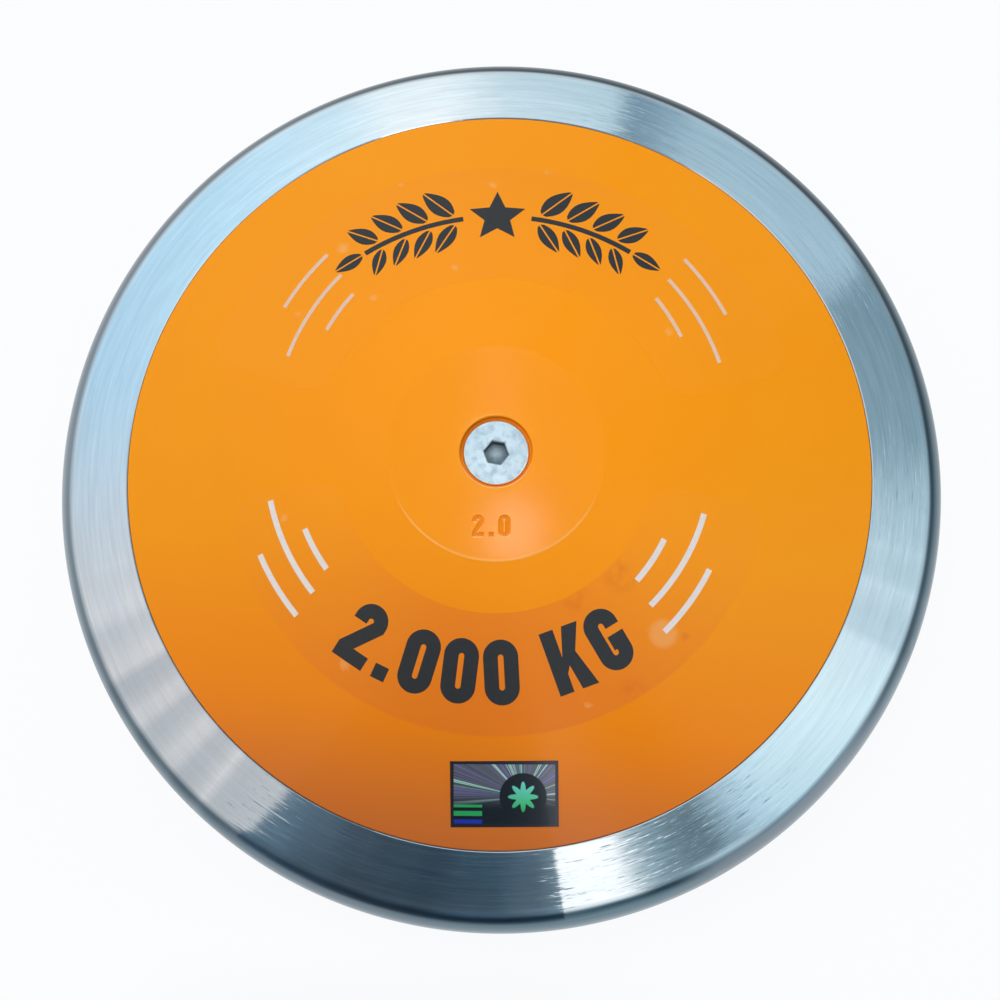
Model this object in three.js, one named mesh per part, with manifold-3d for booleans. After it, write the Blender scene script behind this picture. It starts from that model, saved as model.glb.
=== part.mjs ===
// A throwing discus of the men's 2 kg class: a ground steel rim, two moulded plates screwed together
// through the centre, and a stack of steel discs between them that brings the weight up to the class.
// Millimetres. The discus lies flat, its spin axis on +Z, the front plate up, the origin at its centre.

import * as THREE from 'three';
import { mergeVertices } from 'three/addons/utils/BufferGeometryUtils.js';
import Module from 'manifold-3d';

const wasm = await Module();
wasm.setup();

// Outline, which the competition rules set
const outerDiameter = 220;
const centreThickness = 45;
const flatDiameter = 50;
const edgeRadius = 6.3;

// Rim and the joint between rim and plates
const rimFaceWidth = 20.5;
const seamGap = 0.15;
const flangeThickness = 3.5;
const ledgeWidth = 3.8;
const ledgeChamfer = 0.5;
const spigotGap = 0.15;

// Moulded plates
const skinThickness = 3.2;
const spigotThickness = 2.4;
const spigotTipGap = 3;
const spigotChamfer = 0.6;
const hubDiameter = 22;
const hubPadThickness = 7;
const ribThickness = 1.8;
const ribStandoff = 0.6;
const ribTipStandoff = 0.8;
const ringRibDepth = 5;
// Where the ring ribs stand between the hub and the spigot
const ringRibShares = [0.49, 0.75];

// Countersunk screws with a hexagon socket
const screwHeadDiameter = 15.2;
const screwHeadLand = 0.4;
const screwShankDiameter = 8;
const screwLength = 20;
const screwTipChamfer = 1;
const screwRecess = 1.2;
const socketWidth = 5;
const socketDepth = 3;
const pocketGap = 0.7;
const headSeatGap = 0.1;
const shankGap = 0.25;

// Threaded sleeve that both screws run into
const sleeveDiameter = 14;
const sleeveEndGap = 0.25;
const sleeveFitGap = 0.15;
const sleeveChamfer = 0.8;
const threadGap = 0.1;

// Steel discs and damping washers on the sleeve
const weightDiameter = 60;
const weightThickness = 2;
const weightCount = 3;
const trimThickness = 1;
const weightBoreGap = 0.2;
const weightChamfer = 0.3;
const dampingDiameter = 50;
const dampingThickness = 1.5;

// One overrun serves every cut, one bite every joined rib
const overrun = 1;
const bite = 0.5;

// Counts
const rimSteps = 72;
const edgeArcSteps = 10;
const hubSteps = 36;
const ribCount = 12;
const socketSides = 6;

// Worked out from the sizes above
const outerRadius = outerDiameter / 2;
const halfThickness = centreThickness / 2;
const flatRadius = flatDiameter / 2;
const plateRadius = outerRadius - rimFaceWidth;
const edgeCentreRadius = outerRadius - edgeRadius;

// The tapered face runs straight from the flat centre and just touches the rounded edge
const taperRun = edgeCentreRadius - flatRadius;
const taperSightline = Math.hypot(taperRun, halfThickness);
const taperAngle = Math.atan2(halfThickness, taperRun) - Math.asin(edgeRadius / taperSightline);

const seatHeight = taperHeight(plateRadius) - flangeThickness;
const ledgeRadius = plateRadius - ledgeWidth;
const plateEdgeRadius = plateRadius - seamGap;
const spigotOuterRadius = ledgeRadius - spigotGap;
const spigotInnerRadius = spigotOuterRadius - spigotThickness;
const spigotTipHeight = spigotTipGap / 2;

const stackHeight = weightCount * weightThickness + trimThickness;
const hubFootHeight = stackHeight / 2 + dampingThickness;
const hubPadHeight = halfThickness - hubPadThickness;
const hubRadius = hubDiameter / 2;
const sleeveRadius = sleeveDiameter / 2;

const headRadius = screwHeadDiameter / 2;
const shankRadius = screwShankDiameter / 2;
const headTop = halfThickness - screwRecess;
const headConeDepth = headRadius - shankRadius;

const rimSteel = new THREE.MeshStandardMaterial({ color: 0xb7c6d0, roughness: 0.34, metalness: 1 });
const orangePlastic = new THREE.MeshStandardMaterial({ color: 0xee8f25, roughness: 0.42, metalness: 0 });
const zincSteel = new THREE.MeshStandardMaterial({ color: 0xc6d4da, roughness: 0.4, metalness: 1 });
const plainSteel = new THREE.MeshStandardMaterial({ color: 0x8d9297, roughness: 0.5, metalness: 1 });
const blackRubber = new THREE.MeshStandardMaterial({ color: 0x1c1c1d, roughness: 0.85, metalness: 0 });

// Height of the outside face at a radius between the flat centre and the rounded edge
function taperHeight(radius) {
  return halfThickness - Math.max(radius - flatRadius, 0) * Math.tan(taperAngle);
}

// Height of the underside of a plate's skin at a radius on its taper
function undersideHeight(radius) {
  return taperHeight(radius) - skinThickness / Math.cos(taperAngle);
}

// Turns a profile of [radius, height] points about +Z. The points run anticlockwise, outside going up.
function revolve(points, steps) {
  const profile = points.map(([radius, height]) => new THREE.Vector2(radius, height));
  const geometry = new THREE.LatheGeometry(profile, steps);
  geometry.rotateX(Math.PI / 2);
  return geometry;
}

// A profile that doesn't touch the axis ends where it starts
function closed(points) {
  return [...points, points[0]];
}

// Makes a closed geometry into a solid that can be cut and joined
function solidOf(geometry) {
  const bare = geometry.clone();
  bare.deleteAttribute('normal');
  bare.deleteAttribute('uv');
  const merged = mergeVertices(bare);
  const corners = merged.index.array;
  const kept = [];
  for (let i = 0; i < corners.length; i += 3) {
    const [a, b, c] = corners.slice(i, i + 3);
    if (a !== b && b !== c && c !== a) kept.push(a, b, c);
  }
  const mesh = new wasm.Mesh({
    numProp: 3,
    vertProperties: new Float32Array(merged.attributes.position.array),
    triVerts: new Uint32Array(kept),
  });
  return new wasm.Manifold(mesh);
}

function geometryOf(solid) {
  const mesh = solid.getMesh();
  const geometry = new THREE.BufferGeometry();
  geometry.setAttribute('position', new THREE.BufferAttribute(mesh.vertProperties, 3));
  geometry.setIndex(new THREE.BufferAttribute(mesh.triVerts, 1));
  geometry.computeVertexNormals();
  return geometry;
}

function piece(name, geometry, material) {
  const mesh = new THREE.Mesh(geometry, material);
  mesh.name = name;
  return mesh;
}

// The rim is a steel ring, rounded outside, tapered on both faces, with a ledge that the plates sit on
function rimGeometry() {
  const points = [];
  for (let i = 0; i <= edgeArcSteps; i += 1) {
    const sweep = (Math.PI - 2 * taperAngle) * (i / edgeArcSteps - 1 / 2);
    points.push([edgeCentreRadius + edgeRadius * Math.cos(sweep), edgeRadius * Math.sin(sweep)]);
  }
  points.push([plateRadius, taperHeight(plateRadius)]);
  points.push([plateRadius, seatHeight]);
  points.push([ledgeRadius + ledgeChamfer, seatHeight]);
  points.push([ledgeRadius, seatHeight - ledgeChamfer]);
  points.push([ledgeRadius, -seatHeight + ledgeChamfer]);
  points.push([ledgeRadius + ledgeChamfer, -seatHeight]);
  points.push([plateRadius, -seatHeight]);
  points.push([plateRadius, -taperHeight(plateRadius)]);
  return revolve(closed(points), rimSteps);
}

// The skin of a plate: flat centre, straight taper, a flange on the rim's ledge and a spigot in its bore
function plateSkin() {
  return revolve([
    [0, halfThickness - skinThickness],
    [flatRadius - skinThickness * Math.tan(taperAngle / 2), halfThickness - skinThickness],
    [spigotInnerRadius, undersideHeight(spigotInnerRadius)],
    [spigotInnerRadius, spigotTipHeight],
    [spigotOuterRadius - spigotChamfer, spigotTipHeight],
    [spigotOuterRadius, spigotTipHeight + spigotChamfer],
    [spigotOuterRadius, seatHeight],
    [plateEdgeRadius, seatHeight],
    [plateEdgeRadius, taperHeight(plateEdgeRadius)],
    [flatRadius, halfThickness],
    [0, halfThickness],
  ], rimSteps);
}

// The hub reaches down from the skin to the damping washer
function plateHub() {
  return revolve([
    [0, hubFootHeight],
    [hubRadius, hubFootHeight],
    [hubRadius, halfThickness - skinThickness / 2],
    [0, halfThickness - skinThickness / 2],
  ], hubSteps);
}

// What the hub lets in: the sleeve from below, the screw's shank, its cone and the pocket over its head
function hubBore() {
  const boreRadius = sleeveRadius + sleeveFitGap;
  const holeRadius = shankRadius + shankGap;
  const coneTop = headTop - screwHeadLand - headSeatGap;
  const coneTopRadius = headRadius + headSeatGap;
  const pocketRadius = headRadius + pocketGap;
  return revolve([
    [0, hubFootHeight - overrun],
    [boreRadius, hubFootHeight - overrun],
    [boreRadius, hubPadHeight],
    [holeRadius, hubPadHeight],
    [holeRadius, coneTop - (coneTopRadius - holeRadius)],
    [coneTopRadius, coneTop],
    [pocketRadius, coneTop],
    [pocketRadius, halfThickness + overrun],
    [0, halfThickness + overrun],
  ], hubSteps);
}

// A radial rib stands under the skin from the hub to the spigot and clears the discs on the sleeve
function radialRib() {
  const start = hubRadius - bite;
  const end = spigotInnerRadius + bite;
  const innerFoot = hubFootHeight + ribStandoff;
  const outerFoot = spigotTipHeight + ribTipStandoff;
  const kneeRadius = weightDiameter / 2 + ribStandoff;
  const outline = new THREE.Shape();
  outline.moveTo(start, innerFoot);
  outline.lineTo(kneeRadius, innerFoot);
  outline.lineTo(end, outerFoot);
  outline.lineTo(end, taperHeight(end) - skinThickness / 2);
  outline.lineTo(flatRadius, halfThickness - skinThickness / 2);
  outline.lineTo(start, halfThickness - skinThickness / 2);
  const geometry = new THREE.ExtrudeGeometry(outline, { depth: ribThickness, bevelEnabled: false });
  geometry.rotateX(Math.PI / 2);
  geometry.translate(0, ribThickness / 2, 0);
  return geometry;
}

// A ring rib ties the radial ribs together between the hub and the spigot
function ringRib(share) {
  const middle = hubRadius + share * (spigotInnerRadius - hubRadius);
  const inner = middle - ribThickness / 2;
  const outer = middle + ribThickness / 2;
  const foot = undersideHeight(middle) - ringRibDepth;
  return revolve(closed([
    [inner, foot],
    [outer, foot],
    [outer, taperHeight(outer) - skinThickness / 2],
    [inner, taperHeight(inner) - skinThickness / 2],
  ]), rimSteps);
}

function plateGeometry() {
  let plate = solidOf(plateSkin()).add(solidOf(plateHub()));
  for (let i = 0; i < ribCount; i += 1) {
    const rib = radialRib();
    rib.rotateZ(((i + 1 / 2) / ribCount) * Math.PI * 2);
    plate = plate.add(solidOf(rib));
  }
  for (const share of ringRibShares) {
    plate = plate.add(solidOf(ringRib(share)));
  }
  return geometryOf(plate.subtract(solidOf(hubBore())));
}

// A countersunk screw, head up, with its hexagon socket
function screwGeometry() {
  const tip = headTop - screwLength;
  const body = revolve([
    [0, tip],
    [shankRadius - screwTipChamfer, tip],
    [shankRadius, tip + screwTipChamfer],
    [shankRadius, headTop - screwHeadLand - headConeDepth],
    [headRadius, headTop - screwHeadLand],
    [headRadius, headTop],
    [0, headTop],
  ], hubSteps);
  const outline = new THREE.Shape();
  const cornerRadius = socketWidth / 2 / Math.cos(Math.PI / socketSides);
  for (let i = 0; i < socketSides; i += 1) {
    const angle = (i / socketSides) * Math.PI * 2;
    const x = cornerRadius * Math.cos(angle);
    const y = cornerRadius * Math.sin(angle);
    if (i === 0) outline.moveTo(x, y);
    else outline.lineTo(x, y);
  }
  const socket = new THREE.ExtrudeGeometry(outline, { depth: socketDepth + overrun, bevelEnabled: false });
  socket.translate(0, 0, headTop - socketDepth);
  return geometryOf(solidOf(body).subtract(solidOf(socket)));
}

// The sleeve is a steel tube, threaded inside, that stops just short of the hub pads at both ends
function sleeveGeometry() {
  const bore = shankRadius + threadGap;
  const end = hubPadHeight - sleeveEndGap;
  return revolve(closed([
    [sleeveRadius - sleeveChamfer, -end],
    [sleeveRadius, -end + sleeveChamfer],
    [sleeveRadius, end - sleeveChamfer],
    [sleeveRadius - sleeveChamfer, end],
    [bore, end],
    [bore, -end],
  ]), hubSteps);
}

// A flat steel disc on the sleeve, its two outer corners broken, with its lower face at height zero
function discGeometry(diameter, thickness) {
  const radius = diameter / 2;
  const bore = sleeveRadius + weightBoreGap;
  const chamfer = Math.min(weightChamfer, thickness / 3);
  return revolve(closed([
    [radius - chamfer, 0],
    [radius, chamfer],
    [radius, thickness - chamfer],
    [radius - chamfer, thickness],
    [bore, thickness],
    [bore, 0],
  ]), hubSteps);
}

function dampingGeometry() {
  const bore = sleeveRadius + weightBoreGap;
  return revolve(closed([
    [dampingDiameter / 2, 0],
    [dampingDiameter / 2, dampingThickness],
    [bore, dampingThickness],
    [bore, 0],
  ]), hubSteps);
}

// Turns a piece of the front half over to make its twin of the back half
function turnedOver(mesh) {
  const half = new THREE.Group();
  half.rotation.x = Math.PI;
  half.add(mesh);
  return half;
}

const discus = new THREE.Group();

discus.add(piece('rim', rimGeometry(), rimSteel));

const plate = plateGeometry();
discus.add(piece('front_plate', plate, orangePlastic));
discus.add(turnedOver(piece('back_plate', plate, orangePlastic)));

const screw = screwGeometry();
discus.add(piece('front_screw', screw, zincSteel));
discus.add(turnedOver(piece('back_screw', screw, zincSteel)));

discus.add(piece('core_sleeve', sleeveGeometry(), plainSteel));

// The stack, from the back up
const stack = new THREE.Group();
stack.position.z = -stackHeight / 2;
for (let i = 0; i < weightCount; i += 1) {
  const weight = piece(`weight_disc_${i + 1}`, discGeometry(weightDiameter, weightThickness), plainSteel);
  weight.position.z = i * weightThickness;
  stack.add(weight);
}
const trim = piece('trim_disc', discGeometry(weightDiameter, trimThickness), plainSteel);
trim.position.z = weightCount * weightThickness;
stack.add(trim);
const backDamper = piece('back_damping_washer', dampingGeometry(), blackRubber);
backDamper.position.z = -dampingThickness;
stack.add(backDamper);
const frontDamper = piece('front_damping_washer', dampingGeometry(), blackRubber);
frontDamper.position.z = stackHeight;
stack.add(frontDamper);
discus.add(stack);

export default discus;
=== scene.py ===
import math
import random
from functools import partial
from math import cos, pi, radians, sin, tan

import bmesh
import bpy
from mathutils import Matrix, Vector


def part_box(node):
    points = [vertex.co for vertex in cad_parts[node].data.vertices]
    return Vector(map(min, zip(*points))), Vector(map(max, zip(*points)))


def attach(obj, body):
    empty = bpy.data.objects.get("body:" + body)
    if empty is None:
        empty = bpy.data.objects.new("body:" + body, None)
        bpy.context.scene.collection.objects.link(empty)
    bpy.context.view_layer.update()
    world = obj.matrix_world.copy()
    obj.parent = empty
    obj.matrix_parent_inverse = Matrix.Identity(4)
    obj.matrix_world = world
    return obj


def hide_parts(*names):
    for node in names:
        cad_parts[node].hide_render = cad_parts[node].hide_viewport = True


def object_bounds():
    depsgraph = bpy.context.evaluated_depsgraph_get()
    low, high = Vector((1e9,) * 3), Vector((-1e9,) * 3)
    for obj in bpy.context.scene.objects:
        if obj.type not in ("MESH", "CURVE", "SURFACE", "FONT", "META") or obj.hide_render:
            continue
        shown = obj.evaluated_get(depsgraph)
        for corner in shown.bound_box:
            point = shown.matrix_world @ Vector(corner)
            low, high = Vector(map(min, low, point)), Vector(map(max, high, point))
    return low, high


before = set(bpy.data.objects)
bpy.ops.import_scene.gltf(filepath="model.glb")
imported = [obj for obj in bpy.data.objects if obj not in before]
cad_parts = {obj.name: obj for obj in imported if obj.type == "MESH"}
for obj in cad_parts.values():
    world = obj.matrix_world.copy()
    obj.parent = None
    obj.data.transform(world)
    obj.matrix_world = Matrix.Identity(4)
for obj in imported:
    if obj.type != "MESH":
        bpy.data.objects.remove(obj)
cad_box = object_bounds()

# Core sleeve, weight discs and trim disc. Mild steel, sawn from tube and bar and turned to size, then
# stacked on the sleeve between the plates to bring the discus up to its class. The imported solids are
# right as they are and take only a finish.
MM = 0.001


def srgb(code):
    """The linear colour of an sRGB hex value."""
    parts = [int(code[i:i + 2], 16) / 255 for i in (1, 3, 5)]
    return (*[p / 12.92 if p <= 0.04045 else ((p + 0.055) / 1.055) ** 2.4 for p in parts], 1.0)


def plug(node, inputs):
    """Sets a node's inputs, by name or in the order they show: a value, hex colour, node or output each."""
    if isinstance(inputs, dict):
        pairs = [(node.inputs[name], value) for name, value in inputs.items()]
    else:
        pairs = zip([socket for socket in node.inputs if socket.enabled], inputs)
    for socket, value in pairs:
        if isinstance(value, bpy.types.Node):
            value = next(output for output in value.outputs if output.enabled)
        if isinstance(value, bpy.types.NodeSocket):
            node.id_data.links.new(value, socket)
        else:
            socket.default_value = srgb(value) if isinstance(value, str) else value


def add_node(tree, kind, inputs=(), operation=None, **settings):
    """Adds a node with its inputs, its operation and its other settings. A Mix is one of colours."""
    node = tree.nodes.new("ShaderNode" + kind)
    if kind == "Mix":
        node.data_type = "RGBA"
    if operation:
        node.operation = operation
    for name, value in settings.items():
        setattr(node, name, value)
    plug(node, inputs)
    return node


def start_material(name, inputs):
    """A material, its shader, the adder of its nodes, and the place on the object in millimetres."""
    material = bpy.data.materials.new(name)
    material.use_nodes = True
    add = partial(add_node, material.node_tree)
    shader = material.node_tree.nodes["Principled BSDF"]
    plug(shader, inputs)
    where = add("TexCoord").outputs["Object"]
    return material, shader, add, add("VectorMath", [where, 1 / MM], "SCALE")


def from_axis(add, place):
    """Distance from the spin axis."""
    return add("VectorMath", [add("VectorMath", [place, (1, 1, 0)], "MULTIPLY")], "LENGTH")


def off_middle(add, place):
    """Height off the middle plane, to either side."""
    return add("Math", [add("SeparateXYZ", [place]).outputs["Z"]], "ABSOLUTE")


# Turned mild steel: grey, with the concentric marks of the lathe tool about 0.3 mm apart
TOOL_MARK_MM = 0.3
TOOL_MARK_DEPTH_MM = 0.01
mild_steel, shader, add, place = start_material("turned_mild_steel", {"Roughness": 0.4, "Metallic": 1.0})
radius = from_axis(add, place)
height = off_middle(add, place)
marks = add("CombineXYZ", [radius, height])
feed = add("TexNoise", [marks, 1 / TOOL_MARK_MM])
tint = add("Mix", [feed, "#7f858b", "#9ba1a6"])
groove = add("Bump", {"Strength": 0.4, "Distance": TOOL_MARK_DEPTH_MM * MM, "Height": feed})
plug(shader, {"Base Color": tint, "Normal": groove})


def finish_node(name, material):
    """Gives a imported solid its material."""
    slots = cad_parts[name].data.materials
    slots.clear()
    slots.append(material)


for name in ("core_sleeve", "weight_disc_1", "weight_disc_2", "weight_disc_3", "trim_disc"):
    finish_node(name, mild_steel)

# Damping washers. Nitrile rubber, punched from sheet and laid loose on the sleeve, between the stack
# of discs and the hubs of the plates, where they keep the discs from rattling.

# Calendered rubber sheet: black and matt, with a faint grain of about half a millimetre
SHEET_GRAIN_MM = 0.5
SHEET_GRAIN_DEPTH_MM = 0.03
rubber, shader, add, place = start_material("nitrile_sheet", {"Roughness": 0.85})
grain = add("TexNoise", [place, 1 / SHEET_GRAIN_MM])
tint = add("Mix", [grain, "#161617", "#242425"])
pores = add("Bump", {"Strength": 0.5, "Distance": SHEET_GRAIN_DEPTH_MM * MM, "Height": grain})
plug(shader, {"Base Color": tint, "Normal": pores})

for name in ("front_damping_washer", "back_damping_washer"):
    finish_node(name, rubber)

# Rim. A mild steel ring, ground while it turned and then zinc plated, so it is bright with fine marks
# that run round it. Its two faces taper outwards to a rounded edge, and inside is the plates' ledge.
RIM_STEPS = 720
EDGE_ARC_STEPS = 44
CORNER_DEG = 30
EDGE_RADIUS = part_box("rim")[1].z / MM
OUTER_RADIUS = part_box("rim")[1].x / MM
FLAT_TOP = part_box("front_plate")[1].z / MM
FLAT_RADIUS = 25.0
PLATE_RADIUS = 89.5
SEAT_HEIGHT = 5.83
LEDGE_RADIUS = 85.7
LEDGE_CHAMFER = 0.5
SEAM_BREAK = 0.2
SEAM_SUPPORT = 3.0
EDGE_SUPPORT = 2.0

EDGE_CENTRE = OUTER_RADIUS - EDGE_RADIUS
SIGHTLINE = math.hypot(EDGE_CENTRE - FLAT_RADIUS, FLAT_TOP)
TAPER = math.atan2(FLAT_TOP, EDGE_CENTRE - FLAT_RADIUS) - math.asin(EDGE_RADIUS / SIGHTLINE)


def taper_height(radius):
    """Height of the discus's face at a radius, in millimetres."""
    return FLAT_TOP - max(radius - FLAT_RADIUS, 0) * tan(TAPER)


def taper_point(radius):
    """A point of a profile on the discus's face."""
    return (radius, taper_height(radius))


def arc(centre, radius, start, end, steps):
    """Points on an arc, its angles in degrees."""
    points = []
    for i in range(steps + 1):
        angle = radians(start + (end - start) * i / steps)
        points.append((centre[0] + radius * cos(angle), centre[1] + radius * sin(angle)))
    return points


def add_object(name, data):
    """Puts a new object into the scene."""
    made = bpy.data.objects.new(name, data)
    bpy.context.scene.collection.objects.link(made)
    return made


def add_piece(name, mesh):
    """Puts a mesh into the scene as a piece of the discus."""
    piece = add_object(name, mesh)
    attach(piece, "root")
    return piece


def finish_mesh(name, shape, material):
    """Makes a piece of a shape, smooth but for its sharp corners."""
    bmesh.ops.recalc_face_normals(shape, faces=shape.faces)
    mesh = bpy.data.meshes.new(name)
    shape.to_mesh(mesh)
    shape.free()
    mesh.materials.append(material)
    mesh.shade_smooth()
    mesh.set_sharp_from_angle(angle=radians(CORNER_DEG))
    return add_piece(name, mesh)


def turn(profile, steps):
    """Turns a closed profile of (radius, height) about the axis. A radius may be a function of angle."""
    shape = bmesh.new()
    rings = []
    for step in range(steps):
        angle = math.tau * step / steps
        ring = []
        for radius, height in profile:
            reach = radius(angle) if callable(radius) else radius
            x, y = reach * cos(angle) * MM, reach * sin(angle) * MM
            ring.append(shape.verts.new((x, y, height * MM)))
        rings.append(ring)
    for here, there in zip(rings, rings[1:] + rings[:1]):
        for i, (radius, _) in enumerate(profile):
            j = (i + 1) % len(profile)
            if radius != 0 or profile[j][0] != 0:
                shape.faces.new((here[i], there[i], there[j], here[j]))
    bmesh.ops.remove_doubles(shape, verts=shape.verts, dist=1e-8)
    return shape


def set_stops(ramp, stops, start=0.0, end=1.0):
    """Gives a colour ramp its stops, each a place on the scale from start to end and a colour."""
    elements = ramp.color_ramp.elements
    while len(elements) < len(stops):
        elements.new(0.5)
    for element, (where, colour) in zip(elements, stops):
        element.position = (where - start) / (end - start)
        element.color = srgb(colour) if isinstance(colour, str) else colour


def along_ring(add, away, across, length, width):
    """A place for noise, of one unit for each length along the ring and each width across it."""
    run = add("VectorMath", [away, EDGE_CENTRE / length], "SCALE")
    row = add("Math", [across, 1 / width], "MULTIPLY")
    lift = add("CombineXYZ", {"Z": row})
    return add("VectorMath", [run, lift], "ADD")


# Bright zinc over ground steel: blue-white, with grinding marks that spread a reflection across them.
# The marks are some 0.1 mm apart and drawn at 0.35 mm to show. The rounded edge is darker, with a dark
# line next to the face, both a painted reflection of dark surroundings.
GRIND_MARK_MM = 0.35
GRIND_MARK_LENGTH_MM = 22.0
GRIND_MARK_DEPTH_MM = 0.008
CLOUD_MM = 1.3
CLOUD_LENGTH_MM = 16.0
FACE_END = 105.1
LINE_END = 106.6
zinc_rim, shader, add, place = start_material("zinc_on_ground_steel", {"Metallic": 1.0})
radius = from_axis(add, place)
height = off_middle(add, place)
flat = add("VectorMath", [place, (1, 1, 0)], "MULTIPLY")
away = add("VectorMath", [flat], "NORMALIZE")
across = add("Math", [radius, height], "SUBTRACT")
grind = along_ring(add, away, across, GRIND_MARK_LENGTH_MM, GRIND_MARK_MM)
marks = add("TexNoise", [grind, 1.0, 3.0])
broad = along_ring(add, away, across, CLOUD_LENGTH_MM, CLOUD_MM)
clouds = add("TexNoise", [broad, 1.0, 3.0])
# The painted reflection on the edge changes round the disc: its start lies nearer or farther from the
# axis, its dark line comes and goes, and its band is painted darker at the top. Each row has the bearing,
# the strength of the line, the shift of the band's start in millimetres and the painted darkening.
EDGE_BANDS = (
    (-180, 0.2, 0.2, 0.0),
    (-150, 0.5, 0.0, 0.0),
    (-128, 0.6, 0.4, 0.0),
    (-110, 0.2, 1.2, 0.0),
    (-95, 0.7, 0.75, 0.0),
    (-75, 1.0, 1.25, 0.0),
    (-68, 0.9, 1.1, 0.0),
    (-62, 0.15, 0.5, 0.0),
    (-54, 0.0, 0.05, 0.0),
    (-42, 0.0, 0.3, 0.0),
    (-30, 0.7, 0.6, 0.0),
    (0, 1.0, 1.1, 0.35),
    (30, 1.0, 0.8, 0.55),
    (60, 1.0, 0.75, 0.85),
    (90, 1.0, 0.55, 0.75),
    (125, 0.35, 0.1, 0.35),
    (150, 0.2, 0.2, 0.15),
    (180, 0.2, 0.2, 0.0),
)
EDGE_SHIFT_MM = 1.4
side = add("SeparateXYZ", [away])
bearing = add("Math", [side.outputs["Y"], side.outputs["X"]], "ARCTAN2")
turned = add("MapRange", [bearing, -pi, pi])
bands = add("ValToRGB", [turned])
stops = []
for degrees, strength, shift, painted_darkening in EDGE_BANDS:
    stops.append((degrees, (strength, (shift / EDGE_SHIFT_MM + 1) / 2, painted_darkening, 1.0)))
set_stops(bands, stops, -180, 180)
line, shifted, painted_darkening = add("SeparateColor", [bands]).outputs
moved = add("MapRange", [shifted, 0.0, 1.0, -EDGE_SHIFT_MM, EDGE_SHIFT_MM])
shifted_radius = add("Math", [radius, moved], "ADD")
zones = add("MapRange", [shifted_radius, PLATE_RADIUS, OUTER_RADIUS])
ramp = add("ValToRGB", [zones])
# The tint of the metal at each radius, from the seam outwards; past the face the dark tints are a painted
# reflection
RIM_ZONES = (
    (PLATE_RADIUS + 1.0, "#f3f7f9"),
    (PLATE_RADIUS + 4.0, "#f2f6f8"),
    (PLATE_RADIUS + 7.0, "#eff4f7"),
    (FACE_END - 1.0, "#ebf1f4"),
    (FACE_END - 0.2, "#ccd5da"),
    (FACE_END + 0.5, "#4a606c"),
    (FACE_END + 0.9, "#304754"),
    (LINE_END - 0.2, "#3d5764"),
    (LINE_END + 0.8, "#6e8994"),
    (OUTER_RADIUS, "#879da7"),
)
set_stops(ramp, RIM_ZONES, PLATE_RADIUS, OUTER_RADIUS)
past_face = add("MapRange", [shifted_radius, FACE_END - 1.0, FACE_END + 0.3])
no_line = add("Math", [1.0, line], "SUBTRACT")
plain = add("Math", [no_line, past_face], "MULTIPLY")
zoned = add("Mix", [plain, ramp, "#8b98a2"])
# Painted reflection: the edge band is darker at the top
on_edge = add("MapRange", [shifted_radius, FACE_END - 0.2, FACE_END + 1.2])
roughness_and_darkening = add("Math", [painted_darkening, on_edge], "MULTIPLY")
zoned = add("Mix", [roughness_and_darkening, zoned, "#1f3541"])
# Darker bars are painted across the face in two places, a painted reflection. Each has its bearing, its half
# width in degrees and its strength, and fades out towards the next.
REFLECTED_BARS = (
    (-162.0, 1.4, 0.15), (-155.5, 1.6, 0.6), (-148.2, 1.6, 1.0), (-141.3, 1.7, 1.0), (-134.2, 1.8, 1.0),
    (-128.2, 1.5, 0.95), (-23.8, 2.2, 0.6), (-15.8, 1.5, 0.35), (-10.6, 1.0, 0.25),
)
REFLECTED_BAR_FADE_DEG = 0.9
REFLECTED_BAR_END_DEG = -5.0
levels = [(-180, 0.0)]
for middle, half_width, strength in REFLECTED_BARS:
    levels.append((middle - half_width - REFLECTED_BAR_FADE_DEG, 0.0))
    levels.append((middle - half_width + REFLECTED_BAR_FADE_DEG / 2, strength))
    levels.append((middle + half_width - REFLECTED_BAR_FADE_DEG / 2, strength))
levels.append((REFLECTED_BAR_END_DEG, 0.0))
bars = add("ValToRGB", [turned])
set_stops(bars, [(degrees, (level, level, level, 1.0)) for degrees, level in levels], -180, 180)
cloud = add("MapRange", [clouds, 0.3, 0.7, 0.9, 1.0])
barred = add("Math", [bars, cloud], "MULTIPLY")
zoned = add("Mix", [barred, zoned, "#d8dee3"], blend_type="MULTIPLY")
streak = add("MapRange", [marks, 0.3, 0.7, 0.93, 1.0])
shade = add("Math", [streak, cloud], "MULTIPLY")
tint = add("Mix", [1.0, zoned, shade], blend_type="MULTIPLY")
wear = add("MapRange", [marks, 0.3, 0.7, 0.115, 0.165])
groove = add("Bump", {"Strength": 0.5, "Distance": GRIND_MARK_DEPTH_MM * MM, "Height": marks})
tangent = add("Tangent", direction_type="RADIAL", axis="Z")
# Each mark also leans along its own length, most of them hardly and a few far, which frays the edge of
# a reflection and carries glints beyond it
MARK_LEAN = 0.06
LEAN_LENGTH_MM = 6.0
scratch = along_ring(add, away, across, LEAN_LENGTH_MM, GRIND_MARK_MM)
scratches = add("TexNoise", [scratch, 1.0, 5.0, 0.65])
lean = add("MapRange", [scratches, 0.33, 0.67, -1.0])
squared = add("Math", [lean, lean], "MULTIPLY")
cubed = add("Math", [squared, lean], "MULTIPLY")
lean = add("Math", [cubed, MARK_LEAN], "MULTIPLY")
leaning = add("VectorMath", [tangent, lean], "SCALE")
ground = add("VectorMath", [groove, leaning], "ADD")
ground = add("VectorMath", [ground], "NORMALIZE")
plug(shader, {"Base Color": tint, "Roughness": wear, "Normal": ground, "Tangent": tangent})
plug(shader, {"Anisotropic": 1.0, "Anisotropic Rotation": 0.25})

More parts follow.
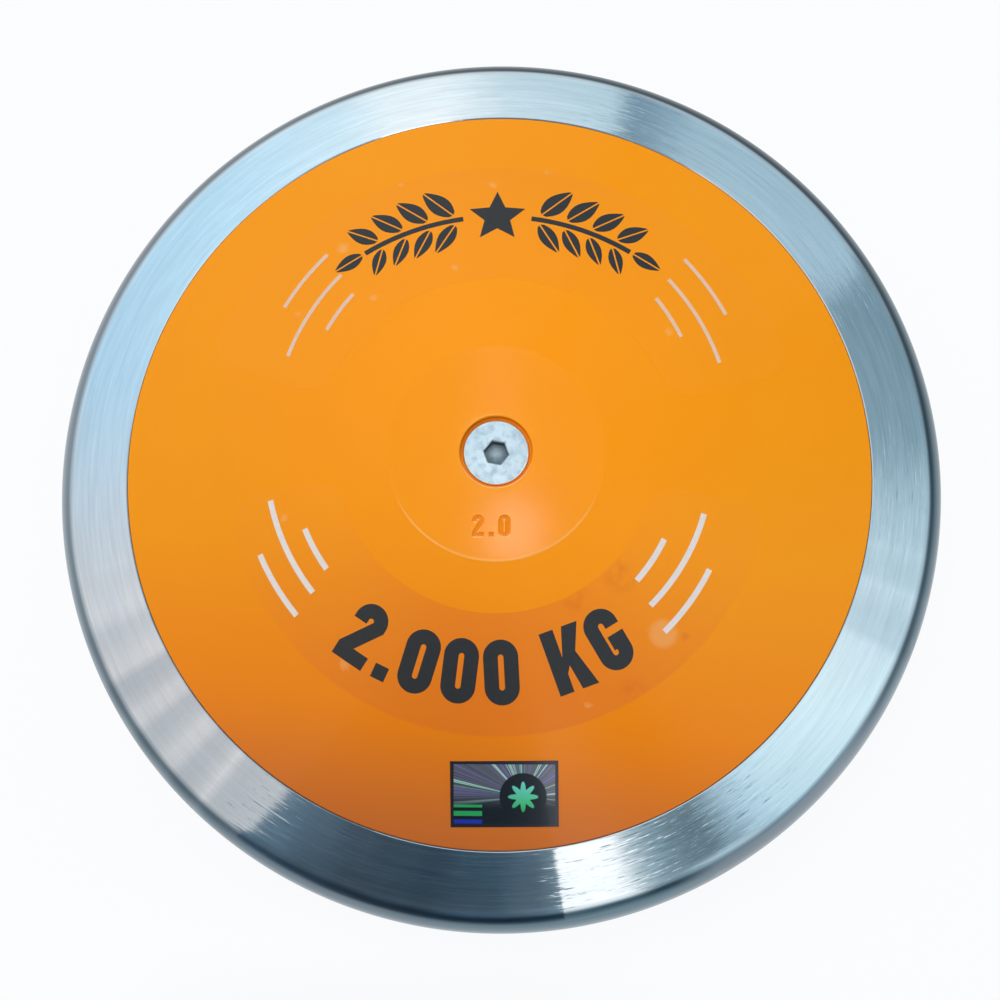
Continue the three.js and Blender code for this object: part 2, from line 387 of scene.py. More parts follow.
taper_deg = math.degrees(TAPER)
inner_end = taper_point(EDGE_CENTRE - EDGE_SUPPORT)
edge = arc((EDGE_CENTRE, 0), EDGE_RADIUS, taper_deg - 90, 90 - taper_deg, EDGE_ARC_STEPS)
upper = [
    taper_point(PLATE_RADIUS + SEAM_SUPPORT),
    taper_point(PLATE_RADIUS + SEAM_BREAK),
    (PLATE_RADIUS, taper_height(PLATE_RADIUS) - SEAM_BREAK),
    (PLATE_RADIUS, SEAT_HEIGHT),
    (LEDGE_RADIUS + LEDGE_CHAMFER, SEAT_HEIGHT),
    (LEDGE_RADIUS, SEAT_HEIGHT - LEDGE_CHAMFER),
]
lower = [(reach, -level) for reach, level in reversed(upper)]
shape = turn([(inner_end[0], -inner_end[1]), *edge, inner_end, *upper, *lower], RIM_STEPS)

# Knocks from landing on hard ground: small dents round the edge
KNOCK_COUNT = 16
KNOCK_RISE = 1.0
KNOCK_SIZES = (0.8, 2.0)
KNOCK_DEPTHS = (0.08, 0.22)
random.seed(4)
for _ in range(KNOCK_COUNT):
    angle = random.uniform(0, math.tau)
    rise = random.uniform(-KNOCK_RISE, KNOCK_RISE)
    size = random.uniform(*KNOCK_SIZES)
    depth = random.uniform(*KNOCK_DEPTHS)
    middle = Vector((cos(angle) * cos(rise), sin(angle) * cos(rise), sin(rise)))
    out = Vector((cos(angle), sin(angle), 0)) * EDGE_CENTRE * MM
    spot = out + middle * EDGE_RADIUS * MM
    for vertex in shape.verts:
        gap = (vertex.co - spot).length / (size * MM)
        if gap < 1:
            vertex.co -= middle * depth * MM * (1 - gap * gap) ** 2

rim = finish_mesh("steel_rim", shape, zinc_rim)
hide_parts("rim")

# Plates. Two orange ABS mouldings from one mould, each a tapered skin with a hub for the screw and a
# spigot that centres it in the rim. The weight number is sunk into the flat centre by the mould.
PLATE_STEPS = 256
ROUND_STEPS = 6
PLATE_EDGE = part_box("front_plate")[1].x / MM
SKIN = 3.2
SPIGOT_OUTER = 85.55
SPIGOT_INNER = 83.15
SPIGOT_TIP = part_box("front_plate")[0].z / MM
SPIGOT_CHAMFER = 0.6
HUB_RADIUS = 11.0
HUB_FOOT = 5.0
HUB_PAD = 15.5
SLEEVE_BORE = 7.15
SHANK_HOLE = 4.25
POCKET_RADIUS = 8.3
POCKET_FLOOR = 20.8
CONE_RADIUS = 7.7
FLAT_EDGE_RADIUS = 1.6
SEAM_EDGE_RADIUS = 0.35
POCKET_EDGE_RADIUS = 0.3
# Extra points near each rounded edge and on the taper, which keep the shading of the faces even
SUPPORT = 1.5
TAPER_SUPPORTS = (70.0, 50.0)
NUMBER_HEIGHT = 5.2
NUMBER_WEIGHT = NUMBER_HEIGHT * 0.24
NUMBER_GAP = NUMBER_HEIGHT * 0.18
NUMBER_DEPTH = 0.45
NUMBER_DRAFT = 0.3
NUMBER_MIDDLE = (-1.0, -17.1)
FIGURE_STEPS = 16

FLOW_MM = 38.0
MIDDLE_CLEAR_REACH = (70.0, 20.0)
REDDER_SHADE_REACH = (-12.0, -75.0)
BROWNER_SHADE_REACH = (-56.0, -92.0)
SMOOTH = {"interpolation_type": "SMOOTHSTEP"}


def orange_with_foot_shade(add, place, radius):
    """The flow of the melt, how far a place lies towards the top, and the orange that they give, with a
    painted shade that makes it redder towards the foot.
    """
    flow = add("TexNoise", [place, 1 / FLOW_MM, 3.0])
    orange_tone = add("Mix", [flow, "#f38f0e", "#f79611"])
    toward_middle = add("MapRange", [radius, *MIDDLE_CLEAR_REACH, 0.0, 0.7], **SMOOTH)
    orange_tone = add("Mix", [toward_middle, orange_tone, "#fe9410"])
    topward = add("VectorMath", [place, (0.1, 1.0, 0.0)], "DOT_PRODUCT")
    # Painted shade: the orange turns redder towards the foot
    redder_foot_shade = add("MapRange", [topward, *REDDER_SHADE_REACH, 0.0, 0.85], **SMOOTH)
    return flow, topward, add("Mix", [redder_foot_shade, orange_tone, "#ef7c14"])


# Moulded ABS: a strong satin orange, clearest round its middle, with a painted shade that makes it
# redder towards the foot and brownish at its end. Its colour drifts a little with the flow of the melt,
# over a fine spark grain of about 0.35 mm.
SPARK_GRAIN_MM = 0.35
SPARK_GRAIN_DEPTH_MM = 0.01
EDGE_HIGHLIGHT_WIDTH = (0.4, 0.05)
EDGE_HIGHLIGHT_REACH = (-8.0, -18.0)
NUMBER_FLOOR = FLAT_TOP - NUMBER_DEPTH
abs_orange, shader, add, place = start_material("moulded_abs", {"IOR": 1.53, "Specular IOR Level": 0.13})
radius = from_axis(add, place)
height = off_middle(add, place)
flow, topward, orange_tone = orange_with_foot_shade(add, place, radius)
# Painted shade: browner still at the foot
browner_foot_shade = add("MapRange", [topward, *BROWNER_SHADE_REACH, 0.0, 0.92], **SMOOTH)
orange_tone = add("Mix", [browner_foot_shade, orange_tone, "#cc6a31"])
# The foot side of the flat's edge carries a pale painted highlight
off_edge = add("Math", [radius, FLAT_RADIUS - 0.1], "SUBTRACT")
from_edge = add("Math", [off_edge], "ABSOLUTE")
near_edge = add("MapRange", [from_edge, *EDGE_HIGHLIGHT_WIDTH], **SMOOTH)
parts = add("SeparateXYZ", [place])
foot_side = add("MapRange", [parts.outputs["Y"], *EDGE_HIGHLIGHT_REACH, 0.0, 0.4], **SMOOTH)
edge_highlight = add("Math", [near_edge, foot_side], "MULTIPLY")
edge_highlighted = add("Mix", [edge_highlight, orange_tone, "#ffbe7a"])
# In the sunk number and the pocket the plastic is matt. The walls of the figures that face the top carry a
# pale painted highlight, and the floors are darker.
on_flat = add("Math", [radius, FLAT_RADIUS - 3.0], "LESS_THAN")
off_top = add("MapRange", [height, FLAT_TOP - 0.01, FLAT_TOP - 0.06])
off_floor = add("MapRange", [height, NUMBER_FLOOR + 0.02, NUMBER_FLOOR + 0.09])
sunk = add("Math", [off_top, on_flat], "MULTIPLY")
wall = add("Math", [sunk, off_floor], "MULTIPLY")
facing = add("SeparateXYZ", [add("NewGeometry").outputs["Normal"]])
foot_wall = add("MapRange", [facing.outputs["Y"], 0.2, 0.45])
wall_highlight_and_ripple = add("Math", [wall, foot_wall], "MULTIPLY")
wall_highlighted = add("Mix", [wall_highlight_and_ripple, edge_highlighted, "#ffd29e"])
# The floors of the figures and the pocket are darker
deep = add("MapRange", [height, NUMBER_FLOOR + 0.09, NUMBER_FLOOR + 0.01, 0.0, 0.24])
floor_darkening = add("Math", [deep, on_flat], "MULTIPLY")
tint = add("Mix", [floor_darkening, wall_highlighted, "#b8560f"])
satin = add("MapRange", [flow, 0.3, 0.7, 0.1, 0.14])
matt = add("Math", [sunk, 0.3, satin], "MULTIPLY_ADD")
grain = add("TexNoise", [place, 1 / SPARK_GRAIN_MM, 2.0])
pores = add("Bump", {"Strength": 0.25, "Distance": SPARK_GRAIN_DEPTH_MM * MM, "Height": grain})
plug(shader, {"Base Color": tint, "Roughness": matt, "Normal": pores})


def ribbon(path, width, closed=False):
    """The outline of a stroke of one width along a path: two loops if it is closed, and otherwise one."""
    count = len(path)
    left, right = [], []
    for i, (x, y) in enumerate(path):
        before = path[i - 1] if closed or i > 0 else None
        after = path[(i + 1) % count] if closed or i < count - 1 else None
        ways = []
        for a, b in ((before, (x, y)), ((x, y), after)):
            if a is not None and b is not None:
                ways.append((Vector(b) - Vector(a)).normalized())
        way = sum(ways, Vector((0, 0))).normalized()
        side = Vector((-way.y, way.x))
        reach = width / 2 / side.dot(Vector((-ways[0].y, ways[0].x)))
        left.append((x + side.x * reach, y + side.y * reach))
        right.append((x - side.x * reach, y - side.y * reach))
    return [left, right] if closed else [left + right[::-1]]


def figure(character, height, weight):
    """Outlines and width of a plain upright figure or letter, its foot at (0, 0)."""
    width = height * 0.54
    half = weight / 2
    bend = width / 2 - half
    top_arc = arc((width / 2, height - half - bend), bend, 0, 180, FIGURE_STEPS)
    foot_arc = arc((width / 2, half + bend), bend, 180, 360, FIGURE_STEPS)
    if character == ".":
        return [[(0, 0), (weight, 0), (weight, weight), (0, weight)]], weight
    if character == "0":
        return ribbon(top_arc + foot_arc, weight, closed=True), width
    if character == "2":
        shoulder = height - half - bend
        crown = (width / 2, shoulder)
        steep = math.atan2(shoulder - weight, width - weight)
        thick = weight / sin(steep)
        outline = [(0, shoulder - height * 0.07)] + arc(crown, width / 2, 180, 0, FIGURE_STEPS)
        outline += [(width, shoulder - (thick - weight) * tan(steep)), (thick, weight)]
        outline += [(width, weight), (width, 0), (0, 0), (0, weight)]
        outline += arc(crown, bend - half, 0, 180, FIGURE_STEPS) + [(weight, shoulder - height * 0.07)]
        return [outline], width
    if character == "G":
        path = [(width - half, height * 0.66)] + top_arc + foot_arc
        path += [(width - half, height * 0.42), (width * 0.5, height * 0.42)]
        return ribbon(path, weight), width
    if character == "K":
        width = height * 0.62
        arm = weight * 1.12
        outline = [(0, 0), (weight, 0), (weight, height * 0.29), (weight * 1.3, height * 0.4)]
        outline += [(width - arm, 0), (width + weight * 0.05, 0), (weight * 1.98, height * 0.58)]
        outline += [(width, height), (width - arm, height), (weight, height * 0.55)]
        outline += [(weight, height), (0, height)]
        return [outline], width
    return [], width * 0.5


def set_row(text, height, weight, gap):
    """A row of figures as the start, width and outlines of each, and the length of the row."""
    row, reach = [], 0.0
    for character in text:
        loops, width = figure(character, height, weight)
        row.append((reach, width, loops))
        reach += width + gap
    return row, reach - gap


def shaped_mesh(item):
    """A mesh of an object as its outlines or modifiers shape it."""
    bpy.context.view_layer.update()
    return bpy.data.meshes.new_from_object(item.evaluated_get(bpy.context.evaluated_depsgraph_get()))


def fill_outlines(name, outlines, thickness=0.0, draft=0.0):
    """A mesh of outlines in millimetres: a flat shape, or a slab with its edges cut back by a draft."""
    curve = bpy.data.curves.new(name, "CURVE")
    curve.dimensions = "2D"
    curve.fill_mode = "BOTH"
    curve.extrude = (thickness / 2 - draft) * MM
    curve.bevel_depth = draft * MM
    curve.bevel_resolution = 0
    curve.offset = -draft * MM
    for outline in outlines:
        spline = curve.splines.new("POLY")
        spline.points.add(len(outline) - 1)
        spline.use_cyclic_u = True
        for point, (x, y) in zip(spline.points, outline):
            point.co = (x * MM, y * MM, 0, 1)
    drawn = add_object(name, curve)
    mesh = shaped_mesh(drawn)
    bpy.data.objects.remove(drawn)
    return mesh


# The flat centre runs into the taper over a short radius
bend_run = FLAT_EDGE_RADIUS * tan(TAPER / 2)
flat_centre = (FLAT_RADIUS - bend_run, FLAT_TOP - FLAT_EDGE_RADIUS)
seam_drop = SEAM_EDGE_RADIUS * tan(radians(45 - taper_deg / 2))
seam_centre = (PLATE_EDGE - SEAM_EDGE_RADIUS, taper_height(PLATE_EDGE) - seam_drop)
pocket_centre = (POCKET_RADIUS + POCKET_EDGE_RADIUS, FLAT_TOP - POCKET_EDGE_RADIUS)
taper_supports = (PLATE_EDGE - SUPPORT, *TAPER_SUPPORTS, FLAT_RADIUS + SUPPORT)
profile = [
    (SLEEVE_BORE, HUB_FOOT),
    (HUB_RADIUS, HUB_FOOT),
    (HUB_RADIUS, FLAT_TOP - SKIN),
    (FLAT_RADIUS - SKIN * tan(TAPER / 2), FLAT_TOP - SKIN),
    (SPIGOT_INNER, taper_height(SPIGOT_INNER) - SKIN / cos(TAPER)),
    (SPIGOT_INNER, SPIGOT_TIP),
    (SPIGOT_OUTER - SPIGOT_CHAMFER, SPIGOT_TIP),
    (SPIGOT_OUTER, SPIGOT_TIP + SPIGOT_CHAMFER),
    (SPIGOT_OUTER, SEAT_HEIGHT),
    (PLATE_EDGE, SEAT_HEIGHT),
    *arc(seam_centre, SEAM_EDGE_RADIUS, 0, 90 - taper_deg, ROUND_STEPS),
    *[taper_point(reach) for reach in taper_supports],
    *arc(flat_centre, FLAT_EDGE_RADIUS, 90 - taper_deg, 90, ROUND_STEPS),
    (FLAT_RADIUS - SUPPORT, FLAT_TOP),
    (POCKET_RADIUS + SUPPORT, FLAT_TOP),
    *arc(pocket_centre, POCKET_EDGE_RADIUS, 90, 180, ROUND_STEPS),
    (POCKET_RADIUS, POCKET_FLOOR),
    (CONE_RADIUS, POCKET_FLOOR),
    (SHANK_HOLE, POCKET_FLOOR - (CONE_RADIUS - SHANK_HOLE)),
    (SHANK_HOLE, HUB_PAD),
    (SLEEVE_BORE, HUB_PAD),
]
front_plate = finish_mesh("front_plate_moulding", turn(profile, PLATE_STEPS), abs_orange)

row, run = set_row("2.0", NUMBER_HEIGHT, NUMBER_WEIGHT, NUMBER_GAP)
left, foot = NUMBER_MIDDLE[0] - run / 2, NUMBER_MIDDLE[1] - NUMBER_HEIGHT / 2
outlines = [[(x + start + left, y + foot) for x, y in loop] for start, _, loops in row for loop in loops]
cutter_mesh = fill_outlines("number_punch", outlines, NUMBER_DEPTH * 2, NUMBER_DRAFT)
cutter = add_object("number_punch", cutter_mesh)
cutter.location.z = FLAT_TOP * MM
sink = front_plate.modifiers.new("number", "BOOLEAN")
sink.operation = "DIFFERENCE"
sink.solver = "EXACT"
sink.object = cutter
numbered = shaped_mesh(front_plate)
front_plate.modifiers.remove(sink)
bpy.data.objects.remove(cutter)
front_plate.data = numbered
numbered.set_sharp_from_angle(angle=radians(CORNER_DEG))
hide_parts("front_plate")


def turn_over(name, front):
    """The back twin of a front piece."""
    mesh = front.data.copy()
    mesh.transform(Matrix.Rotation(pi, 4, "X"))
    return add_piece(name, mesh)


back_plate = turn_over("back_plate_moulding", front_plate)
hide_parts("back_plate")

# Screws. Countersunk machine screws with a hexagon socket, cold headed from steel wire and zinc plated.
# One runs into each end of the sleeve, its head a little below the flat centre of the plate.
SCREW_STEPS = 144
HEAD_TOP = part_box("front_screw")[1].z / MM
HEAD_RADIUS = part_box("front_screw")[1].x / MM
SCREW_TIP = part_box("front_screw")[0].z / MM
HEAD_LAND = 0.4
HEAD_EDGE_RADIUS = 0.35
SHANK_RADIUS = 4.0
TIP_CHAMFER = 1.0
SOCKET_WIDTH = 5.0
SOCKET_DEPTH = 3.0
SOCKET_LIP = 0.25
SOCKET_TURN_DEG = 10.0
DRILL_POINT = 0.7

# Bright zinc on a cold headed blank: blue-white, mottled by the plating bath in spots of 1 to 3 mm.
# In the socket a painted shade darkens it, less in its middle, which is lighter as a painted reflection, and
# round the head's edge a painted highlight brightens it.
MOTTLE_MM = 1.6
ORANGE_PEEL_DEPTH_MM = 0.04
LIT_MIDDLE_REACH = (0.3, 2.1)
zinc_screw, shader, add, place = start_material("zinc_on_headed_steel", {"Metallic": 1.0})
mottle = add("TexNoise", [place, 1 / MOTTLE_MM, 5.0, 0.6])
ramp = add("ValToRGB", [mottle])
set_stops(ramp, ((0.34, "#c9d6de"), (0.56, "#e2eef3")))
radius = from_axis(add, place)
height = off_middle(add, place)
below_top = add("MapRange", [height, HEAD_TOP - 0.15, HEAD_TOP - 0.6, 0.0, 0.8])
off_lit_middle = add("MapRange", [radius, *LIT_MIDDLE_REACH, 0.55])
thin_and_socket_shade = add("Math", [below_top, off_lit_middle], "MULTIPLY")
in_socket = add("Math", [radius, SOCKET_WIDTH], "LESS_THAN")
thin_and_socket_shade = add("Math", [thin_and_socket_shade, in_socket], "MULTIPLY")
tint = add("Mix", [thin_and_socket_shade, ramp, "#4b5a62"])
# A painted highlight round the head's edge
at_edge = add("MapRange", [radius, HEAD_RADIUS - 0.6, HEAD_RADIUS - 0.25])
tint = add("Mix", [at_edge, tint, "#fbfdff"])
roughness_and_darkening = add("MapRange", [mottle, 0.35, 0.65, 0.5, 0.34])
orange_peel = add("Bump", {"Strength": 0.4, "Distance": ORANGE_PEEL_DEPTH_MM * MM, "Height": mottle})
plug(shader, {"Base Color": tint, "Roughness": roughness_and_darkening, "Normal": orange_peel})


def hexagon(reach):
    """The distance to a side of the hexagon at an angle, where the screw stopped turning."""
    third = pi / 3

    def side(angle):
        return reach / cos((angle + radians(SOCKET_TURN_DEG)) % third - third / 2)

    return side


head_centre = (HEAD_RADIUS - HEAD_EDGE_RADIUS, HEAD_TOP - HEAD_EDGE_RADIUS)
profile = [
    (0, SCREW_TIP),
    (SHANK_RADIUS - TIP_CHAMFER, SCREW_TIP),
    (SHANK_RADIUS, SCREW_TIP + TIP_CHAMFER),
    (SHANK_RADIUS, HEAD_TOP - HEAD_LAND - (HEAD_RADIUS - SHANK_RADIUS)),
    (HEAD_RADIUS, HEAD_TOP - HEAD_LAND),
    *arc(head_centre, HEAD_EDGE_RADIUS, 0, 90, ROUND_STEPS),
    (hexagon(SOCKET_WIDTH / 2 + SOCKET_LIP), HEAD_TOP),
    (hexagon(SOCKET_WIDTH / 2), HEAD_TOP - SOCKET_LIP),
    (hexagon(SOCKET_WIDTH / 2), HEAD_TOP - SOCKET_DEPTH),
    (SOCKET_WIDTH / 2 - SOCKET_LIP, HEAD_TOP - SOCKET_DEPTH),
    (0, HEAD_TOP - SOCKET_DEPTH - DRILL_POINT),
]
front_screw = finish_mesh("front_socket_screw", turn(profile, SCREW_STEPS), zinc_screw)
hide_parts("front_screw")
back_screw = turn_over("back_socket_screw", front_screw)
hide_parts("back_screw")

# Decal films. Two curved strips of clear polyester film, die cut with round corners and rubbed down
# on the front plate. They carry the print, and a few air bubbles are left under them.
FILM_THICKNESS = 0.025
FILM_STEP = 0.7
FILM_ROWS = 44
FILM_CORNER = 7.0
# Name, bearings of the ends, radii of the sides, reddening, and round marks of (radius, bearing, size):
# blisters with air under them, and stains where the adhesive has darkened
FILMS = (
    ("upper_film", (17.0, 161.0), (43.0, 74.5), 0.14, (
        (64.7, 125.9, 1.5), (48.6, 127.6, 0.9), (59.5, 143.9, 0.8), (74.0, 109.2, 0.8), (69.3, 90.9, 0.9),
        (67.4, 104.7, 1.0), (74.0, 80.6, 0.7), (47.1, 102.4, 0.8), (50.4, 36.1, 0.9),
    ), ()),
    ("lower_film", (-171.0, -11.0), (36.5, 63.8), 0.86, (
        (55.7, -47.3, 3.7), (59.2, -125.5, 1.2), (51.3, -163.2, 0.9), (60.5, -69.9, 0.7),
    ), ((39.8, -45.3, 4.5), (38.0, -61.7, 3.5), (61.5, -60.0, 4.0), (59.6, -44.1, 1.2))),
)
BLISTER_RISE = 0.02
# The share of a mark's radius over which it fades in
BLISTER_FADE = 0.3
STAIN_FADE = 0.6

# Clear gloss film with the orange plate under it: the plate's orange, with its painted foot shade, under a
# glossy coat, redder over the middle of the print, and blotched dark where it is stained.
# Where air lies under the film it turns paler.
BLOT_MM = 3.0
RIPPLE_MM = 6.0
RIPPLE_DEPTH_MM = 0.03
clear_film, shader, add, place = start_material("clear_film_on_abs", {"Roughness": 0.3, "IOR": 1.5})
plug(shader, {"Specular IOR Level": 0.13, "Coat Weight": 0.1, "Coat Roughness": 0.08})
# The plate's orange, with its painted foot shade, under the film
_, _, orange_tone = orange_with_foot_shade(add, place, from_axis(add, place))
redder_film = add("Attribute", attribute_name="redder_film")
orange_tone = add("Mix", [redder_film.outputs["Fac"], orange_tone, "#e6761e"])
air = add("Attribute", attribute_name="air")
pale = add("Math", [air.outputs["Fac"], 0.45], "MULTIPLY")
tint = add("Mix", [pale, orange_tone, "#f3ab68"])
stain = add("Attribute", attribute_name="stain")
blot = add("TexNoise", [place, 1 / BLOT_MM, 3.0])
uneven = add("MapRange", [blot, 0.35, 0.65, 0.0, 0.4])
stained = add("Math", [stain.outputs["Fac"], uneven], "MULTIPLY")
tint = add("Mix", [stained, tint, "#d25f1c"])
ripple = add("TexNoise", [place, 1 / RIPPLE_MM])
wall_highlight_and_ripple = add("Bump", {"Strength": 0.25, "Distance": RIPPLE_DEPTH_MM * MM, "Height": ripple})
plug(shader, {"Base Color": tint, "Normal": wall_highlight_and_ripple})


def polar(reach, degrees):
    """A point in plan, from its distance from the spin axis and its bearing from +X."""
    return (reach * cos(radians(degrees)), reach * sin(radians(degrees)))


def thicken(shape, thickness):
    """Closes an open sheet downwards into a thin solid."""
    grown = bmesh.ops.extrude_face_region(shape, geom=shape.faces[:], use_keep_orig=True)
    for part in grown["geom"]:
        if isinstance(part, bmesh.types.BMVert):
            part.co.z -= thickness * MM


def near_mark(marks, x, y):
    """How far inside the nearest mark a place is, from 0 at its edge to 1 in its middle, and its size."""
    best = (0.0, 0.0)
    for reach, turned, size in marks:
        u, v = polar(reach, turned)
        best = max(best, (1 - math.hypot(x - u, y - v) / size, size))
    return best


def film_level(x, y):
    """Height of the films' upper face over a place in plan, in millimetres, with their blisters."""
    inside, size = near_mark([mark for film in FILMS for mark in film[4]], x, y)
    swell = size * BLISTER_RISE * (1 - (1 - inside) ** 2) ** 2
    return taper_height(math.hypot(x, y)) + FILM_THICKNESS + swell


for name, (start, end), (inner, outer), film_redness, blisters, stains in FILMS:
    shape = bmesh.new()
    air = shape.verts.layers.float.new("air")
    stain = shape.verts.layers.float.new("stain")
    redder_film = shape.verts.layers.float.new("redder_film")
    length = radians(end - start) * (inner + outer) / 2
    columns = round(length / FILM_STEP)
    grid = []
    for i in range(columns + 1):
        angle = radians(start + (end - start) * i / columns)
        from_end = min(i, columns - i) * length / columns
        lost = FILM_CORNER - math.sqrt(max(0, FILM_CORNER ** 2 - max(0, FILM_CORNER - from_end) ** 2))
        # A film is reddened least at its ends, and more towards its outer side
        off_ends = 0.04 + 0.96 * sin(pi * i / columns) ** 2.4
        column = []
        for j in range(FILM_ROWS + 1):
            reach = inner + lost + (outer - inner - 2 * lost) * j / FILM_ROWS
            x, y = reach * cos(angle), reach * sin(angle)
            vertex = shape.verts.new((x * MM, y * MM, film_level(x, y) * MM))
            vertex[air] = min(1, near_mark(blisters, x, y)[0] / BLISTER_FADE)
            vertex[stain] = min(1, near_mark(stains, x, y)[0] / STAIN_FADE)
            vertex[redder_film] = film_redness * off_ends * (0.78 + 0.34 * j / FILM_ROWS)
            column.append(vertex)
        grid.append(column)
    for here, there in zip(grid, grid[1:]):
        for j in range(FILM_ROWS):
            shape.faces.new((here[j], here[j + 1], there[j + 1], there[j]))
    thicken(shape, FILM_THICKNESS)
    finish_mesh(name, shape, clear_film)

# Print on the films. Screen printed in two inks: a pair of laurel sprigs with a star, the weight of
# the class in plain figures, and pale curved strokes at the ends of both films.
INK_THICKNESS = 0.04
DRAPE_STEP_DEG = 1

# Black screen ink: a warm near-black, smooth but not glossy, with a faint print mottle
INK_MOTTLE_MM = 1.2
black_ink, shader, add, place = start_material("black_screen_ink", {"Specular IOR Level": 0.3})
mottle = add("TexNoise", [place, 1 / INK_MOTTLE_MM, 3.0])
tint = add("Mix", [mottle, "#29292a", "#323132"])
matt = add("MapRange", [mottle, 0.0, 1.0, 0.3, 0.45])
plug(shader, {"Base Color": tint, "Roughness": matt})

# Pale screen ink: a silvery white that lets the orange through, more so towards the top
INK_THINS_REACH = (-10.0, 30.0)
silver_ink, shader, add, place = start_material("silver_screen_ink", {"Roughness": 0.4})
mottle = add("TexNoise", [place, 1 / INK_MOTTLE_MM, 3.0])
tint = add("Mix", [mottle, "#dccbc4", "#eadcd6"])
parts = add("SeparateXYZ", [place])
thin_and_socket_shade = add("MapRange", [parts.outputs["Y"], *INK_THINS_REACH, 0.0, 0.65])
tint = add("Mix", [thin_and_socket_shade, tint, "#dea57c"])
plug(shader, {"Base Color": tint})


def print_on_film(name, outlines, material):
    """Lays filled outlines, drawn in millimetres in plan, on the taper over the film."""
    shape = bmesh.new()
    shape.from_mesh(fill_outlines(name, outlines))
    for degrees in range(0, 180, DRAPE_STEP_DEG):
        across = (sin(radians(degrees)), -cos(radians(degrees)), 0)
        parts = shape.verts[:] + shape.edges[:] + shape.faces[:]
        bmesh.ops.bisect_plane(shape, geom=parts, dist=1e-7, plane_co=(0, 0, 0), plane_no=across)
    bmesh.ops.remove_doubles(shape, verts=shape.verts, dist=2e-6)
    for vertex in shape.verts:
        vertex.co.z = (film_level(vertex.co.x / MM, vertex.co.y / MM) + INK_THICKNESS) * MM
    thicken(shape, INK_THICKNESS)
    return finish_mesh(name, shape, material)


# The weight of the class, set on an arc at the foot with the tops of the figures towards the centre
FIGURE_HEIGHT = 14.6
FIGURE_WEIGHT = 3.3
FIGURE_GAP = 1.5
FIGURE_FOOT_RADIUS = 59.3
FIGURE_ARC_CENTRE = Vector((-1.5, 2.3))
FIGURE_MIDDLE_DEG = -91.1
row, run = set_row("2.000 KG", FIGURE_HEIGHT, FIGURE_WEIGHT, FIGURE_GAP)
middle_radius = FIGURE_FOOT_RADIUS - FIGURE_HEIGHT / 2
outlines = []
for start, width, loops in row:
    angle = radians(FIGURE_MIDDLE_DEG) + (start + width / 2 - run / 2) / middle_radius
    out = Vector((cos(angle), sin(angle)))
    along = Vector((-out.y, out.x))
    for loop in loops:
        points = []
        for x, y in loop:
            spot = FIGURE_ARC_CENTRE + out * (FIGURE_FOOT_RADIUS - y) + along * (x - width / 2)
            points.append(tuple(spot))
        outlines.append(points)
print_on_film("weight_print", outlines, black_ink)

# Laurel sprigs: a curved stem to each side of the star, with paired leaves split by their midrib
STEM_RADIUS = 60.0
STEM_WIDTH = 1.3
STEM_ENDS = (8.0, 32.5)
STEM_STEPS = 12
LEAF_PAIRS = 4
FIRST_PAIR = 0.3
LEAF_LENGTH = 11.4
LEAF_WIDTH = 5.2
LEAF_LEAN = 50
LEAF_GAP = 0.35
LEAF_SHRINK = 0.22
LEAF_BELLY = 0.85
LEAF_STEPS = 10
INNER_LEAF = (0.88, 0.8)
TIP_LEAF = 0.75
TIP_GAP_DEG = 0.4
MIDRIB = 0.4
MIDRIB_ENDS = (0.94, 0.06)
STAR_POINTS = 5
STAR_REACH = 7.2
STAR_NOTCH = 3.3


def leaf(foot, bearing, length, width):
    """The two halves of a pointed leaf, split by its midrib."""
    way = Vector((cos(bearing), sin(bearing)))
    side = Vector((-way.y, way.x))
    halves = []
    for hand in (1, -1):
        rim_side = []
        for i in range(1, LEAF_STEPS):
            share = i / LEAF_STEPS
            swell = sin(pi * share ** LEAF_BELLY) * width / 2
            rim_side.append(Vector(foot) + way * length * share + side * hand * max(swell, MIDRIB / 2))
        inside = [Vector(foot) + way * length * share + side * hand * MIDRIB / 2 for share in MIDRIB_ENDS]
        halves.append([tuple(point) for point in rim_side + inside])
    return halves


outlines = []
stem_run = STEM_ENDS[1] - STEM_ENDS[0]
for hand in (1, -1):
    shares = [i / STEM_STEPS for i in range(STEM_STEPS + 1)]
    stem = [polar(STEM_RADIUS, 90 + hand * (STEM_ENDS[0] + stem_run * share)) for share in shares]
    outlines += ribbon(stem, STEM_WIDTH)
    for i in range(LEAF_PAIRS):
        share = (i + FIRST_PAIR) / LEAF_PAIRS
        turned = 90 + hand * (STEM_ENDS[0] + stem_run * share)
        size = 1 - LEAF_SHRINK * share
        for side, (longer, wider) in ((1, (1, 1)), (-1, INNER_LEAF)):
            foot = polar(STEM_RADIUS + side * (STEM_WIDTH / 2 + LEAF_GAP), turned)
            angle = radians(turned + hand * 90 - hand * side * LEAF_LEAN)
            outlines += leaf(foot, angle, LEAF_LENGTH * size * longer, LEAF_WIDTH * size * wider)
    tip = polar(STEM_RADIUS, 90 + hand * (STEM_ENDS[1] + TIP_GAP_DEG))
    angle = radians(90 + hand * (STEM_ENDS[1] + 90))
    outlines += leaf(tip, angle, LEAF_LENGTH * TIP_LEAF, LEAF_WIDTH * TIP_LEAF)
star = []
for i in range(2 * STAR_POINTS):
    spoke = radians(90 + 180 * i / STAR_POINTS)
    spoke = Vector((cos(spoke), sin(spoke))) * (STAR_NOTCH if i % 2 else STAR_REACH)
    star.append(tuple(Vector((0, STEM_RADIUS)) + spoke))
outlines.append(star)
print_on_film("laurel_print", outlines, black_ink)

